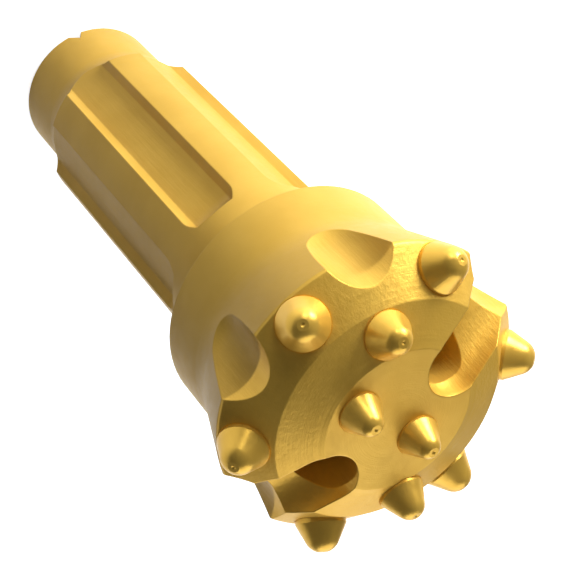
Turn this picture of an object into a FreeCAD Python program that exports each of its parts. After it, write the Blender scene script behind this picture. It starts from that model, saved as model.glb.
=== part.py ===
import FreeCAD, Part
import math
import os

# Button drill bit for a down-the-hole hammer: one steel body with a splined shank and a
# flared head, and ten carbide buttons pressed into blind sockets in the head.
# Millimetres. +Z runs from the strike face (z = 0) to the cutting face; the flushing
# slots lie along X. Angles are in degrees about +Z, counted from +X.

# --- shank ---
body_length = 200.0            # strike face to the flat centre of the cutting face
neck_radius = 23.3             # plain guide end behind the strike face
neck_length = 20.0             # strike face to the start of the blend into the splines
strike_edge_chamfer = 0.8
spline_radius = 27.5           # outside of the spline lands
spline_start_z = 30.5          # where the blend from the neck reaches the lands
head_length = 59.5             # shoulder, which meets the chuck, to the cutting face
shoulder_z = body_length - head_length
shoulder_root_fillet = 2.0

# --- spline grooves ---
groove_count = 6
groove_first_angle = 26.0
groove_floor_distance = 23.9   # axis to the flat floor
groove_floor_width = 12.6
groove_mouth_width = 17.2      # across the groove at the outside of the lands
groove_end_to_shoulder = 18.3  # from where the run-out meets the lands
groove_end_z = shoulder_z - groove_end_to_shoulder
groove_runout_radius = 9.0     # radius of the cutter that leaves the groove's end
groove_cutter_margin = 1.5     # how far the cutter stands out past the lands

# --- notch in the rim of the strike face ---
notch_angle = 249.0
notch_width = 5.8
notch_height = 3.9
notch_apex_shift = -0.8        # the apex sits a little to one side of the notch's middle
notch_depth = 5.0              # radially, from the neck's surface inwards

# --- head ---
gauge_radius = 45.0            # widest part of the steel
gauge_edge_chamfer = 0.5
flare_overhang = 7.5           # gauge edge beyond the collar
collar_radius = gauge_radius - flare_overhang
collar_chamfer = 0.7
collar_length = 20.5           # shoulder to where the flare would cross without the blend
flare_start_z = shoulder_z + collar_length
flare_blend_radius = 24.0
bevel_angle = 45.0             # gauge bevel, from the plane of the cutting face
bevel_width = 11.0             # gauge edge to the sloping ring, across the axis
ring_radius = gauge_radius - bevel_width
ring_angle = 20.0              # that ring, from the plane of the cutting face
ring_width = 12.0
flat_radius = ring_radius - ring_width

# --- chip flutes down the flank: two wide ones in line with the slots, four scoops ---
flute_radius = 15.5
flute_depth = 9.0              # gauge edge to the flute's floor, at flute_reference_z
flute_floor_radius = gauge_radius - flute_depth
flute_lean = -2.0              # negative: the floor runs out of the flank downwards
flute_drop = 37.0              # cutting face down to the centre of the rounded lower end
flute_angles = (358.8, 178.8)
scoop_radius = 11.0
scoop_depth = 6.5
scoop_floor_radius = gauge_radius - scoop_depth
scoop_lean = 3.0               # positive: the floor leans out towards the cutting face
scoop_drop = 31.9
reference_drop = 10.0          # cutting face down to where the depths are given
flute_reference_z = body_length - reference_drop
scoop_angles = (61.7, 117.5, 241.7, 297.5)

# --- air passages ---
air_bore_radius = 10.0         # central bore from the strike face
air_bore_end_drop = 50.0       # cutting face down to the end of the bore
air_bore_depth = body_length - air_bore_end_drop
air_bore_mouth_chamfer = 1.5
air_bore_point_angle = 31.0    # cone left by the drill's point, from the plane of the face
flush_hole_radius = 8.6        # two slanting holes from the bore to the slots
flush_hole_start_drop = 59.0   # cutting face down to where their axes leave the bit's axis
flush_hole_mouth_drop = 10.2   # cutting face down to where their mouths' places are given
slot_radius = 9.6              # round-bottomed slots from the holes out to the wide flutes
slot_slope = 19.0              # the floor falls outwards
slot_depth_distance = 24.0     # from the axis to where the slots' depths are given
first_slot_inner_end = 15.5    # axis to the rounded end
first_slot_depth = 10.1
first_hole_distance = 20.6     # axis to the flushing hole's centre, at its mouth
second_slot_inner_end = 11.7
second_slot_depth = 13.0
second_hole_distance = 19.4

# --- carbide buttons: radius, cylinder above the steel, cone half angle, tip radius ---
gauge_button_radius = 7.0
gauge_button_collar = 0.8
gauge_cone_half_angle = 26.8
gauge_tip_radius = 5.0
gauge_button_seat_depth = 13.0
gauge_seat_inset = 5.15        # gauge edge to the button's base centre, across the axis
gauge_seat_radius = gauge_radius - gauge_seat_inset
gauge_button_angles = (31.5, 91.5, 146.5, 211.5, 271.5, 326.5)

face_cone_half_angle = 25.5
outer_button_radius = 6.5
outer_button_collar = 0.6
outer_tip_radius = 4.3
outer_button_seat_depth = 12.0
outer_seat_inset = 6.2         # outside of the ring to the button's base centre
outer_seat_radius = ring_radius - outer_seat_inset
outer_button_angles = (63.2, 243.2)

inner_button_radius = 6.0
inner_button_collar = 0.6
inner_tip_radius = 3.6
inner_button_seat_depth = 12.0
first_inner_seat_radius = 9.3
first_inner_angle = 96.5
second_inner_seat_radius = 14.2
second_inner_angle = 293.6

tip_flat_radius = 1.5          # small pressed land left on every button's tip
tip_dimple_radius = 0.6
tip_dimple_depth = 0.35
button_foot_chamfer = 0.8      # lead-in at the foot of the button's cylinder

# --- dependent sizes ---
ring_edge_z = body_length - (ring_radius - flat_radius) * math.tan(math.radians(ring_angle))
gauge_edge_z = ring_edge_z - (gauge_radius - ring_radius) * math.tan(math.radians(bevel_angle))
overrun = 5.0                  # how far cutting tools run past the surface they leave

Z_AXIS = FreeCAD.Vector(0, 0, 1)
ORIGIN = FreeCAD.Vector(0, 0, 0)


def point(r, angle, z):
    """A point at radius r and the given angle about the bit's axis."""
    turn = math.radians(angle)
    return FreeCAD.Vector(r * math.cos(turn), r * math.sin(turn), z)


def revolve_profile(edges):
    """A solid turned about Z from a closed outline in the XZ plane."""
    face = Part.Face(Part.Wire(edges))
    return face.revolve(ORIGIN, Z_AXIS, 360)


def chain(points):
    """Straight edges through (x, z) points in the XZ plane."""
    vectors = [FreeCAD.Vector(x, 0, z) for x, z in points]
    return [Part.makeLine(a, b) for a, b in zip(vectors, vectors[1:])]


def arc_edge(start, middle, end):
    """An arc through three (x, z) points in the XZ plane."""
    a, b, c = (FreeCAD.Vector(x, 0, z) for x, z in (start, middle, end))
    return Part.Arc(a, b, c).toShape()


def neck_blend():
    """The concave arc that leaves the neck tangent and rises to the spline lands."""
    run = spline_start_z - neck_length
    rise = spline_radius - neck_radius
    radius = (run * run + rise * rise) / (2 * rise)
    sweep = 2 * math.atan2(rise, run)
    start = (neck_radius, neck_length)
    middle = (neck_radius + radius * (1 - math.cos(sweep / 2)),
              neck_length + radius * math.sin(sweep / 2))
    end = (spline_radius, spline_start_z)
    return arc_edge(start, middle, end)


def flare_blend():
    """The soft concave arc between the collar and the flare, with its two ends."""
    slope = math.atan2(gauge_radius - collar_radius, gauge_edge_z - flare_start_z)
    reach = flare_blend_radius * math.tan(slope / 2)
    start = (collar_radius, flare_start_z - reach)
    end = (collar_radius + reach * math.sin(slope), flare_start_z + reach * math.cos(slope))
    middle = (collar_radius + flare_blend_radius * (1 - math.cos(slope / 2)),
              start[1] + flare_blend_radius * math.sin(slope / 2))
    return arc_edge(start, middle, end), start, end


def turned_blank():
    """The forged and turned blank: neck, spline land cylinder, collar, flare and face."""
    c = strike_edge_chamfer
    f = shoulder_root_fillet
    k = collar_chamfer
    g = gauge_edge_chamfer
    blend, blend_start, blend_end = flare_blend()
    flare = math.atan2(gauge_radius - blend_end[0], gauge_edge_z - blend_end[1])
    bevel = math.radians(bevel_angle)
    below_edge = (gauge_radius - g * math.sin(flare), gauge_edge_z - g * math.cos(flare))
    above_edge = (gauge_radius - g * math.cos(bevel), gauge_edge_z + g * math.sin(bevel))
    diagonal = f * (1 - math.sqrt(0.5))
    edges = chain([(0, 0), (neck_radius - c, 0), (neck_radius, c), (neck_radius, neck_length)])
    edges.append(neck_blend())
    edges += chain([(spline_radius, spline_start_z), (spline_radius, shoulder_z - f)])
    edges.append(arc_edge((spline_radius, shoulder_z - f),
                          (spline_radius + diagonal, shoulder_z - diagonal),
                          (spline_radius + f, shoulder_z)))
    edges += chain([(spline_radius + f, shoulder_z), (collar_radius - k, shoulder_z),
                    (collar_radius, shoulder_z + k), blend_start])
    edges.append(blend)
    edges += chain([blend_end, below_edge, above_edge, (ring_radius, ring_edge_z),
                    (flat_radius, body_length), (0, body_length), (0, 0)])
    return revolve_profile(edges)


def groove_section(z):
    """Trapezoid section of a spline groove at height z, on the +X side of the shank."""
    mouth_x = math.sqrt(spline_radius ** 2 - (groove_mouth_width / 2) ** 2)
    wall = (groove_mouth_width - groove_floor_width) / 2 / (mouth_x - groove_floor_distance)
    top_x = spline_radius + groove_cutter_margin
    top_half = groove_floor_width / 2 + wall * (top_x - groove_floor_distance)
    corners = [(groove_floor_distance, -groove_floor_width / 2), (top_x, -top_half),
               (top_x, top_half), (groove_floor_distance, groove_floor_width / 2)]
    vectors = [FreeCAD.Vector(x, y, z) for x, y in corners]
    return Part.Face(Part.makePolygon(vectors + vectors[:1]))


def groove_cutter():
    """One groove: open at the neck, straight along the shank, lifted out along an arc."""
    depth = spline_radius - groove_floor_distance
    runout = math.sqrt(groove_runout_radius ** 2 - (groove_runout_radius - depth) ** 2)
    lift_z = groove_end_z - runout
    start_z = neck_length - overrun
    straight = groove_section(start_z).extrude(FreeCAD.Vector(0, 0, lift_z - start_z))
    pivot = FreeCAD.Vector(groove_floor_distance + groove_runout_radius, 0, lift_z)
    lifted = groove_section(lift_z).revolve(pivot, FreeCAD.Vector(0, 1, 0), 80)
    return straight.fuse(lifted)


def round_nosed_flute(radius, floor_radius, lean, drop):
    """A flute cutter on the +X side: a leaning cylinder with a ball at its lower end."""
    tilt = math.radians(lean)
    axis = FreeCAD.Vector(math.sin(tilt), 0, math.cos(tilt))
    end_z = body_length - drop
    centre_x = floor_radius + radius / math.cos(tilt)
    end_x = centre_x - (flute_reference_z - end_z) * math.tan(tilt)
    end = FreeCAD.Vector(end_x, 0, end_z)
    length = (body_length + overrun - end_z) / math.cos(tilt) + radius
    return Part.makeCylinder(radius, length, end, axis).fuse(Part.makeSphere(radius, end))


def slot_cutter(inner_end, depth):
    """A round-bottomed slot along +X with a rounded inner end, open at the face."""
    slope = math.radians(slot_slope)
    start_x = inner_end + slot_radius
    floor_z = body_length - depth + (slot_depth_distance - start_x) * math.tan(slope)
    start = FreeCAD.Vector(start_x, 0, floor_z + slot_radius / math.cos(slope))
    reach = (gauge_radius + overrun - start_x) / math.cos(slope)
    outwards = FreeCAD.Vector(math.cos(slope), 0, -math.sin(slope))
    trough = Part.makeCylinder(slot_radius, reach, start, outwards)
    corner = start - FreeCAD.Vector(0, slot_radius, 0)
    height = body_length + 2 * overrun - start.z
    side = Part.makeBox(reach, 2 * slot_radius, height)
    side.Placement = FreeCAD.Placement(corner, FreeCAD.Rotation(FreeCAD.Vector(0, 1, 0), slot_slope))
    end = Part.makeCylinder(slot_radius, height, start, Z_AXIS)
    return trough.fuse([Part.makeSphere(slot_radius, start), side, end])


def flush_hole_cutter(mouth_x):
    """A slanting hole on the +X side, from the central bore up to the slot's floor."""
    start = FreeCAD.Vector(0, 0, body_length - flush_hole_start_drop)
    mouth = FreeCAD.Vector(mouth_x, 0, body_length - flush_hole_mouth_drop)
    direction = (mouth - start).normalize()
    length = (mouth - start).Length + slot_radius
    return Part.makeCylinder(flush_hole_radius, length, start, direction)


def notch_cutter():
    """The small V notch in the rim of the strike face, cut on the +X side."""
    inner_x = neck_radius - notch_depth
    corners = [(-notch_width / 2, 0), (notch_apex_shift, notch_height), (notch_width / 2, 0)]
    below = [(notch_width / 2, -overrun), (-notch_width / 2, -overrun)]
    vectors = [FreeCAD.Vector(inner_x, y, z) for y, z in corners + below]
    face = Part.Face(Part.makePolygon(vectors + vectors[:1]))
    return face.extrude(FreeCAD.Vector(notch_depth + overrun, 0, 0))


def air_bore_cutter():
    """The central air bore with a drill-point end and a chamfered mouth."""
    c = air_bore_mouth_chamfer
    r = air_bore_radius
    outline = [(0, 0), (r + c, 0), (r, c), (r, air_bore_depth),
               (0, air_bore_depth + r * math.tan(math.radians(air_bore_point_angle))), (0, 0)]
    return revolve_profile(chain(outline))


def turned(shape, angle):
    """A copy of a shape turned about the bit's axis."""
    copy = shape.copy()
    copy.rotate(ORIGIN, Z_AXIS, angle)
    return copy


def button_seats():
    """Every button: name, kind, base centre on the steel, and outward direction."""
    seats = []
    bevel_drop = math.tan(math.radians(bevel_angle)) * (gauge_seat_radius - ring_radius)
    for number, angle in enumerate(gauge_button_angles, start=1):
        base = point(gauge_seat_radius, angle, ring_edge_z - bevel_drop)
        axis = point(math.sin(math.radians(bevel_angle)), angle, math.cos(math.radians(bevel_angle)))
        seats.append(("gauge_button_%d" % number, "gauge", base, axis))
    ring_drop = math.tan(math.radians(ring_angle)) * (outer_seat_radius - flat_radius)
    for number, angle in enumerate(outer_button_angles, start=1):
        base = point(outer_seat_radius, angle, body_length - ring_drop)
        axis = point(math.sin(math.radians(ring_angle)), angle, math.cos(math.radians(ring_angle)))
        seats.append(("outer_face_button_%d" % number, "outer", base, axis))
    first = point(first_inner_seat_radius, first_inner_angle, body_length)
    second = point(second_inner_seat_radius, second_inner_angle, body_length)
    seats.append(("inner_face_button_1", "inner", first, Z_AXIS))
    seats.append(("inner_face_button_2", "inner", second, Z_AXIS))
    return seats


def button_sizes(kind):
    """Radius, collar height, cone half angle, tip radius and seat depth of a kind."""
    return {
        "gauge": (gauge_button_radius, gauge_button_collar, gauge_cone_half_angle,
                  gauge_tip_radius, gauge_button_seat_depth),
        "outer": (outer_button_radius, outer_button_collar, face_cone_half_angle,
                  outer_tip_radius, outer_button_seat_depth),
        "inner": (inner_button_radius, inner_button_collar, face_cone_half_angle,
                  inner_tip_radius, inner_button_seat_depth),
    }[kind]


def button_solid(kind):
    """A conical button about Z with its base plane, level with the steel, at z = 0."""
    radius, collar, half_angle, tip, depth = button_sizes(kind)
    cone = math.radians(half_angle)
    foot = button_foot_chamfer
    tangent_r = tip * math.cos(cone)
    tangent_z = collar + (radius - tangent_r) / math.tan(cone)
    centre_z = tangent_z - tip * math.sin(cone)
    flat_z = centre_z + math.sqrt(tip ** 2 - tip_flat_radius ** 2)
    flat_turn = math.acos(tip_flat_radius / tip)
    middle_turn = (cone + flat_turn) / 2
    middle = (tip * math.cos(middle_turn), centre_z + tip * math.sin(middle_turn))
    edges = chain([(0, -depth), (radius - foot, -depth), (radius, -depth + foot),
                   (radius, collar), (tangent_r, tangent_z)])
    edges.append(arc_edge((tangent_r, tangent_z), middle, (tip_flat_radius, flat_z)))
    edges += chain([(tip_flat_radius, flat_z), (tip_dimple_radius, flat_z),
                    (0, flat_z - tip_dimple_depth), (0, -depth)])
    return revolve_profile(edges)


def placed(shape, base, axis):
    """A copy of a shape made about Z, moved to base with its Z turned to axis."""
    copy = shape.copy()
    copy.Placement = FreeCAD.Placement(base, FreeCAD.Rotation(Z_AXIS, axis))
    return copy


def socket_cutter(kind, base, axis):
    """The blind socket that a button is pressed into, open past the steel's surface."""
    radius, _, _, _, depth = button_sizes(kind)
    bottom = base - axis * depth
    return Part.makeCylinder(radius, depth + overrun, bottom, axis)


def bit_body():
    """The blank with its grooves, flutes, slots, air passages, notch and sockets cut."""
    cutters = [turned(groove_cutter(), groove_first_angle + 360.0 / groove_count * k)
               for k in range(groove_count)]
    flute = round_nosed_flute(flute_radius, flute_floor_radius, flute_lean, flute_drop)
    scoop = round_nosed_flute(scoop_radius, scoop_floor_radius, scoop_lean, scoop_drop)
    cutters += [turned(flute, angle) for angle in flute_angles]
    cutters += [turned(scoop, angle) for angle in scoop_angles]
    first_angle, second_angle = flute_angles
    cutters.append(turned(slot_cutter(first_slot_inner_end, first_slot_depth), first_angle))
    cutters.append(turned(flush_hole_cutter(first_hole_distance), first_angle))
    cutters.append(turned(slot_cutter(second_slot_inner_end, second_slot_depth), second_angle))
    cutters.append(turned(flush_hole_cutter(second_hole_distance), second_angle))
    cutters.append(air_bore_cutter())
    cutters.append(turned(notch_cutter(), notch_angle))
    cutters += [socket_cutter(kind, base, axis) for _, kind, base, axis in button_seats()]
    return turned_blank().cut(cutters).removeSplitter()


def export(name, shape):
    """Write one piece and say what was made."""
    shape.exportStep("parts/" + name + ".step")
    print("%-22s valid %s  solids %d  volume %.1f mm3"
          % (name, shape.isValid(), len(shape.Solids), shape.Volume))


os.makedirs("parts", exist_ok=True)
export("bit_body", bit_body())
for name, kind, base, axis in button_seats():
    export(name, placed(button_solid(kind), base, axis))
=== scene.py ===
# %% [markdown]
# # A button drill bit
# This bit screws no thread and holds no blade: a hammer drives it from behind while a splined
# chuck turns it, and the carbide buttons on its face crush the rock. It is one piece of steel
# with ten pressed-in buttons, and all of it is sprayed with satin gold paint.
# The first step loads the measured solids. They already have the right shape, so everything
# below dresses them and lights them.

# %% Load the measured solids
import math
import bmesh
import bpy
from mathutils import Matrix, Vector


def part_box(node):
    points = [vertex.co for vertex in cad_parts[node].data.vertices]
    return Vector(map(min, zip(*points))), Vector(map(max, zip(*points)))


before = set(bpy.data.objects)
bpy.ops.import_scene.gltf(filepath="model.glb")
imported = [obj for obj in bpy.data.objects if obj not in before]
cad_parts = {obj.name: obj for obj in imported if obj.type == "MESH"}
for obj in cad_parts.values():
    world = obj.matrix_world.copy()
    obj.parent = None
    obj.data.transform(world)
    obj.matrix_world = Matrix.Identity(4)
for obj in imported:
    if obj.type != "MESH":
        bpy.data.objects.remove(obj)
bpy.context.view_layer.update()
low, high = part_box("bit_body")
print("nodes:", sorted(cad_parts), "face height %.4f m" % high.z)

# %% [markdown]
# ## The camera
# A long lens keeps the far end of the shank from shrinking too much. The bit stands upright in
# its own frame, so the tilted look of a lying bit comes from rolling the camera about its own
# line of sight. A rotation about X tips the camera down, and a second one about its own Z
# rolls it.

# %% Camera
camera_elevation = math.radians(45.6)
camera_roll = math.radians(137.1)
camera_distance = 0.4793
camera_aim = Vector((0, 0, 0.1354))

camera_data = bpy.data.cameras.new("camera")
camera_data.sensor_fit = "VERTICAL"
camera_data.sensor_height = 36.0
camera_data.lens = 104.0
camera_data.shift_x = 0.00327
camera_data.shift_y = 0.0037
camera_data.clip_start = 0.05
camera = bpy.data.objects.new("camera", camera_data)
bpy.context.scene.collection.objects.link(camera)
back = Vector((0, -math.cos(camera_elevation), math.sin(camera_elevation)))
tip_down = Matrix.Rotation(math.pi / 2 - camera_elevation, 4, "X")
roll = Matrix.Rotation(camera_roll, 4, "Z")
camera.matrix_world = Matrix.Translation(camera_aim + back * camera_distance) @ tip_down @ roll
bpy.context.scene.camera = camera
print("camera stands at", [round(c, 3) for c in camera.location])

# %% [markdown]
# ## Lamps
# Metallic paint is drawn by what it faces. A key lamp low on one side lights one flank, and a
# weaker one beside it carries that light round to the front. A large soft lamp above the far
# side lights the face and the bevel. No lamp stands on the remaining side, so the shank turns
# browner there.

# %% Lamps
lamp_aim = Vector((0, 0, 0.14))


def area_lamp(name, place, size, power):
    """A round white lamp of the given width, turned towards the bit."""
    data = bpy.data.lights.new(name, "AREA")
    data.shape = "DISK"
    data.size = size
    data.energy = power
    lamp = bpy.data.objects.new(name, data)
    lamp.location = place
    lamp.rotation_euler = (lamp_aim - Vector(place)).to_track_quat("-Z", "Y").to_euler()
    bpy.context.scene.collection.objects.link(lamp)
    return lamp


lamps = [
    area_lamp("key", (-0.60, -0.12, 0.24), 0.30, 4.6),
    area_lamp("second_key", (-0.40, -0.45, 0.22), 0.26, 0.9),
    area_lamp("rim", (0.34, 0.60, 0.55), 0.90, 4.2),
]
print("lamps:", {lamp.name: round(lamp.data.energy, 2) for lamp in lamps})

# %% [markdown]
# ## World and floor
# The world is a dim even white that only opens the deepest shadows. The floor is a white
# sheet. It gives its whiteness to what looks at it, straight or in a reflection, and only a
# little of it to the shaded side of the bit. A real sheet would fill that shade with bounced
# light and flatten the form.

# %% World and floor
world_strength = 0.10
floor_half_width = 4.0
sheet_seen = 0.90            # how white the sheet is to a straight look or a reflection
sheet_bounced = 0.05         # and to the light that bounces off it onto the bit
sheet_glow = 0.80


def seen_straight_or_mirrored(nodes, links):
    """1 for camera, glossy and transmission rays, 0 for the rest."""
    path = nodes.new("ShaderNodeLightPath")
    camera_or_glossy = nodes.new("ShaderNodeMath")
    camera_or_glossy.operation = "MAXIMUM"
    links.new(path.outputs["Is Camera Ray"], camera_or_glossy.inputs[0])
    links.new(path.outputs["Is Glossy Ray"], camera_or_glossy.inputs[1])
    any_of_three = nodes.new("ShaderNodeMath")
    any_of_three.operation = "MAXIMUM"
    links.new(camera_or_glossy.outputs[0], any_of_three.inputs[0])
    links.new(path.outputs["Is Transmission Ray"], any_of_three.inputs[1])
    return any_of_three.outputs[0]


def white_sheet():
    """The floor's material."""
    material = bpy.data.materials.new("white_sheet")
    material.use_nodes = True
    nodes, links = material.node_tree.nodes, material.node_tree.links
    sheet = nodes["Principled BSDF"]
    sheet.inputs["Roughness"].default_value = 0.9
    sheet.inputs["Specular IOR Level"].default_value = 0.1
    seen = seen_straight_or_mirrored(nodes, links)

    shade = nodes.new("ShaderNodeMix")
    shade.data_type = "RGBA"
    shade.inputs["A"].default_value = (sheet_bounced, sheet_bounced, sheet_bounced, 1)
    shade.inputs["B"].default_value = (sheet_seen, sheet_seen, sheet_seen, 1)
    links.new(seen, shade.inputs["Factor"])
    links.new(shade.outputs["Result"], sheet.inputs["Base Color"])

    glow = nodes.new("ShaderNodeMath")
    glow.operation = "MULTIPLY"
    glow.inputs[1].default_value = sheet_glow
    links.new(seen, glow.inputs[0])
    sheet.inputs["Emission Color"].default_value = (1, 1, 1, 1)
    links.new(glow.outputs[0], sheet.inputs["Emission Strength"])
    return material


world = bpy.data.worlds.new("studio")
bpy.context.scene.world = world
world.use_nodes = True
background = world.node_tree.nodes["Background"]
background.inputs["Color"].default_value = (1, 1, 1, 1)
background.inputs["Strength"].default_value = world_strength

floor_mesh = bpy.data.meshes.new("floor")
bm = bmesh.new()
bmesh.ops.create_grid(bm, x_segments=1, y_segments=1, size=floor_half_width)
bm.to_mesh(floor_mesh)
bm.free()
floor_mesh.materials.append(white_sheet())
floor = bpy.data.objects.new("floor", floor_mesh)
bpy.context.scene.collection.objects.link(floor)
print("floor is", [round(d, 2) for d in floor.dimensions], "m")

# %% [markdown]
# ## A small kit for wiring materials
# Each finish below is a chain of a few nodes. Short helpers keep the chains readable: each one
# adds a node, feeds it with numbers or with the outputs of other nodes, and returns what comes
# out of it.

# %% Wiring helpers
class Wires:
    """A new material and the means to wire it."""

    def __init__(self, name):
        self.material = bpy.data.materials.new(name)
        self.material.use_nodes = True
        self.nodes = self.material.node_tree.nodes
        self.links = self.material.node_tree.links
        self.shader = self.nodes["Principled BSDF"]
        self.place = self.nodes.new("ShaderNodeTexCoord").outputs["Object"]

    def feed(self, socket, value):
        if hasattr(value, "links"):
            self.links.new(value, socket)
        else:
            socket.default_value = value

    def maths(self, operation, a, b=0.0, c=0.0):
        node = self.nodes.new("ShaderNodeMath")
        node.operation = operation
        for socket, value in zip(node.inputs, (a, b, c)):
            self.feed(socket, value)
        return node.outputs[0]

    def times(self, *factors):
        product = factors[0]
        for factor in factors[1:]:
            product = self.maths("MULTIPLY", product, factor)
        return product

    def less(self, a, b):
        """a - b, never below 0 or above 1."""
        difference = self.maths("SUBTRACT", a, b)
        difference.node.use_clamp = True
        return difference

    def stretch(self, place, factors):
        node = self.nodes.new("ShaderNodeVectorMath")
        node.operation = "MULTIPLY"
        self.feed(node.inputs[0], place)
        self.feed(node.inputs[1], factors)
        return node.outputs["Vector"]

    def split(self, value):
        node = self.nodes.new("ShaderNodeSeparateXYZ")
        self.feed(node.inputs[0], value)
        return node.outputs

    def join(self, x, y, z):
        node = self.nodes.new("ShaderNodeCombineXYZ")
        for socket, value in zip(node.inputs, (x, y, z)):
            self.feed(socket, value)
        return node.outputs[0]

    def noise(self, place, scale, detail):
        node = self.nodes.new("ShaderNodeTexNoise")
        self.feed(node.inputs["Vector"], place)
        node.inputs["Scale"].default_value = scale
        node.inputs["Detail"].default_value = detail
        node.inputs["Roughness"].default_value = 0.55
        return node.outputs["Fac"]

    def step(self, value, start, end, out_start=0.0, out_end=1.0):
        """A smooth step between two values, which may fall as well as rise."""
        node = self.nodes.new("ShaderNodeMapRange")
        node.interpolation_type = "SMOOTHSTEP"
        self.feed(node.inputs["Value"], value)
        node.inputs["From Min"].default_value = start
        node.inputs["From Max"].default_value = end
        node.inputs["To Min"].default_value = out_start
        node.inputs["To Max"].default_value = out_end
        return node.outputs["Result"]

    def mix(self, factor, a, b):
        node = self.nodes.new("ShaderNodeMix")
        node.data_type = "RGBA"
        self.feed(node.inputs["Factor"], factor)
        self.feed(node.inputs["A"], a)
        self.feed(node.inputs["B"], b)
        return node.outputs["Result"]

    def bump(self, height, depth, normal=None):
        node = self.nodes.new("ShaderNodeBump")
        self.feed(node.inputs["Height"], height)
        node.inputs["Distance"].default_value = depth
        node.inputs["Strength"].default_value = 1.0
        if normal is not None:
            self.links.new(normal, node.inputs["Normal"])
        return node.outputs["Normal"]

    def rounded_edges(self, radius):
        node = self.nodes.new("ShaderNodeBevel")
        node.samples = 8
        node.inputs["Radius"].default_value = radius
        return node.outputs["Normal"]


print("wiring helpers:", [name for name in vars(Wires) if not name.startswith("_")])

# %% [markdown]
# ## Where each mark belongs
# The body was turned, milled and forged before it was sprayed, and the thin paint shows it.
# One material can carry every kind of mark, because each kind has its own region, and a region
# is easy to say in the bit's own coordinates: the distance from the axis, and the height. Each
# region is a number that runs from 0 outside it to 1 inside.
# The region of the flutes is everything that lies inside the line of the flared flank, up to
# the face. The bevel and the ring lie inside that line too, so they take some of the marks.

# %% Regions of the body
face_start, face_full = 0.1848, 0.1862
groove_outside, groove_inside = 0.0271, 0.0262
flank_slope = 0.317          # the flank's radius grows by this much for each metre of height
flank_offset = -0.01353


def body_regions(w):
    """The body's regions, and the coordinates that they are made from."""
    x, y, z = w.split(w.place)
    radius = w.maths("SQRT", w.maths("ADD", w.times(x, x), w.times(y, y)))
    flank_radius = w.maths("MULTIPLY_ADD", z, flank_slope, flank_offset)
    in_groove = w.times(w.step(radius, groove_outside, groove_inside),
                        w.times(w.step(z, 0.026, 0.032), w.step(z, 0.123, 0.119)))
    in_flute = w.times(w.step(w.maths("SUBTRACT", flank_radius, radius), 0.0003, 0.0012),
                       w.times(w.step(z, 0.160, 0.163), w.step(z, 0.1995, 0.199)))
    # The deep part of the flushing holes, which is given painted shade.
    in_hole = w.times(w.step(radius, 0.0335, 0.0315),
                      w.times(w.step(z, 0.142, 0.144), w.step(z, 0.1860, 0.1800)))
    return {
        "z": z,
        "radius": radius,
        "turn": w.maths("ARCTAN2", y, x),
        "face": w.step(z, face_start, face_full),
        "groove": in_groove,
        "flute": in_flute,
        "milled": w.maths("MAXIMUM", in_groove, in_flute),
        "hole": in_hole,
    }


# %% [markdown]
# ## The marks themselves
# Noise that is squeezed in one direction becomes lines in the other. Squeezed round the axis
# it gives the rings that a lathe leaves, squeezed along the axis it gives the streaks of the
# milling cutter, and left alone it is the grain of the sprayed paint. The heights add up to
# one relief, under a tenth of a millimetre deep.

# %% Marks in the steel and in the paint
def body_relief(w, where, streaks, mottle):
    """The height of all marks together."""
    ring_place = w.join(where["radius"], w.times(where["turn"], 0.0006), 0.0)
    rings = w.noise(ring_place, 1900.0, 2.0)
    lathe_place = w.join(w.times(where["turn"], 0.0008), 0.0, where["z"])
    lathe = w.noise(lathe_place, 1500.0, 2.0)
    grain = w.noise(w.place, 2600.0, 2.0)

    turned = w.times(w.maths("SUBTRACT", 1.0, where["groove"]),
                     w.maths("SUBTRACT", 1.0, where["flute"]))
    turned_side = w.less(turned, where["face"])
    height = w.times(w.times(rings, where["face"]), 0.55)
    height = w.maths("MULTIPLY_ADD", w.times(lathe, turned_side), 0.30, height)
    height = w.maths("MULTIPLY_ADD", w.times(streaks, where["milled"]), 1.2, height)
    height = w.maths("MULTIPLY_ADD", grain, 0.30, height)
    return w.maths("MULTIPLY_ADD", mottle, 0.45, height)


# %% [markdown]
# ## The paint on the steel
# Gold paint is fine metal flake in a clear binder. The shader's share of metal stands for how
# much flake catches the light. It is kept low on the flank and the shank, which mirror the
# white floor and would turn pale, and higher on the head's face. Deep in the flushing holes
# the walls are given a near-black brown as painted shade, and lose the metal.

# %% Body paint
paint_light = (0.92, 0.57, 0.095, 1.0)
paint_deep = (0.86, 0.52, 0.08, 1.0)
# A near-black brown painted where shade falls deep in the flushing holes.
hole_brown = (0.060, 0.036, 0.020, 1.0)
specular_level = 0.10
metal_on_side, metal_on_face = 0.10, 0.40
edge_round = 0.0006
body_relief_depth = 0.00008


def body_tone(w, where, streaks):
    """Two golds in soft patches, deeper along the streaks, and a near-black brown of painted
    shade in the holes.
    """
    blotch = w.noise(w.place, 45.0, 3.0)
    tone = w.mix(w.step(blotch, 0.35, 0.68), paint_deep, paint_light)
    streaked = w.times(w.step(streaks, 0.42, 0.70), w.times(where["milled"], 0.45))
    tone = w.mix(streaked, tone, paint_deep)
    return w.mix(where["hole"], tone, hole_brown)


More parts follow.
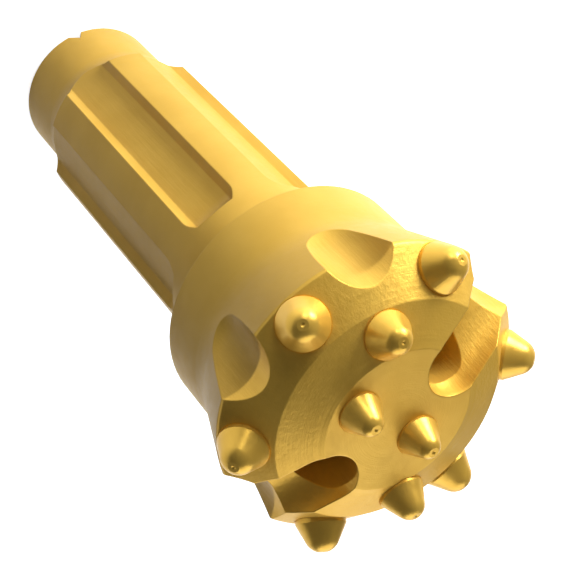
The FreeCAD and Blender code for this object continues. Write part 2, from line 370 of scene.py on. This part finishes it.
def body_paint():
    w = Wires("gold_paint_on_steel")
    where = body_regions(w)
    streaks = w.noise(w.stretch(w.place, (1.0, 1.0, 0.06)), 900.0, 4.0)
    mottle = w.noise(w.place, 420.0, 4.0)
    relief = body_relief(w, where, streaks, mottle)
    normal = w.bump(relief, body_relief_depth, w.rounded_edges(edge_round))
    metal = w.step(where["z"], 0.1840, 0.1850, metal_on_side, metal_on_face)
    w.feed(w.shader.inputs["Normal"], normal)
    w.feed(w.shader.inputs["Base Color"], body_tone(w, where, streaks))
    # The holes' painted shade also takes the metal away.
    w.feed(w.shader.inputs["Metallic"], w.times(metal, w.maths("SUBTRACT", 1.0, where["hole"])))
    w.feed(w.shader.inputs["Roughness"], w.step(mottle, 0.3, 0.7, 0.36, 0.44))
    w.shader.inputs["Specular IOR Level"].default_value = specular_level
    return w.material


# %% [markdown]
# ## The paint on the buttons
# A carbide button is pressed from powder, sintered and tumbled, so it is far smoother than the
# steel round it. The same paint lies on it with less relief and a tighter shine.

# %% Button paint
metal_on_buttons = 0.50
button_relief_depth = 0.00005


def button_paint():
    w = Wires("gold_paint_on_carbide")
    grain = w.noise(w.place, 2600.0, 2.0)
    mottle = w.noise(w.place, 500.0, 3.0)
    blotch = w.noise(w.place, 70.0, 2.0)
    relief = w.maths("MULTIPLY_ADD", mottle, 0.5, w.times(grain, 0.3))
    w.feed(w.shader.inputs["Normal"], w.bump(relief, button_relief_depth))
    tone = w.mix(w.step(blotch, 0.35, 0.68), paint_deep, paint_light)
    w.feed(w.shader.inputs["Base Color"], tone)
    w.feed(w.shader.inputs["Roughness"], w.step(mottle, 0.3, 0.7, 0.28, 0.38))
    w.shader.inputs["Metallic"].default_value = metal_on_buttons
    w.shader.inputs["Specular IOR Level"].default_value = specular_level
    return w.material


# %% [markdown]
# ## Painting the pieces
# The body takes the first finish and every other node is a button.

# %% Paint the solids
steel_paint = body_paint()
carbide_paint = button_paint()
for name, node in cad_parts.items():
    for slot in node.material_slots:
        slot.material = steel_paint if name == "bit_body" else carbide_paint
print("painted", len(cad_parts), "pieces")

# %% [markdown]
# ## The view transform
# The plain view transform shows colours as they are written.

# %% View transform
bpy.context.scene.view_settings.view_transform = "Standard"
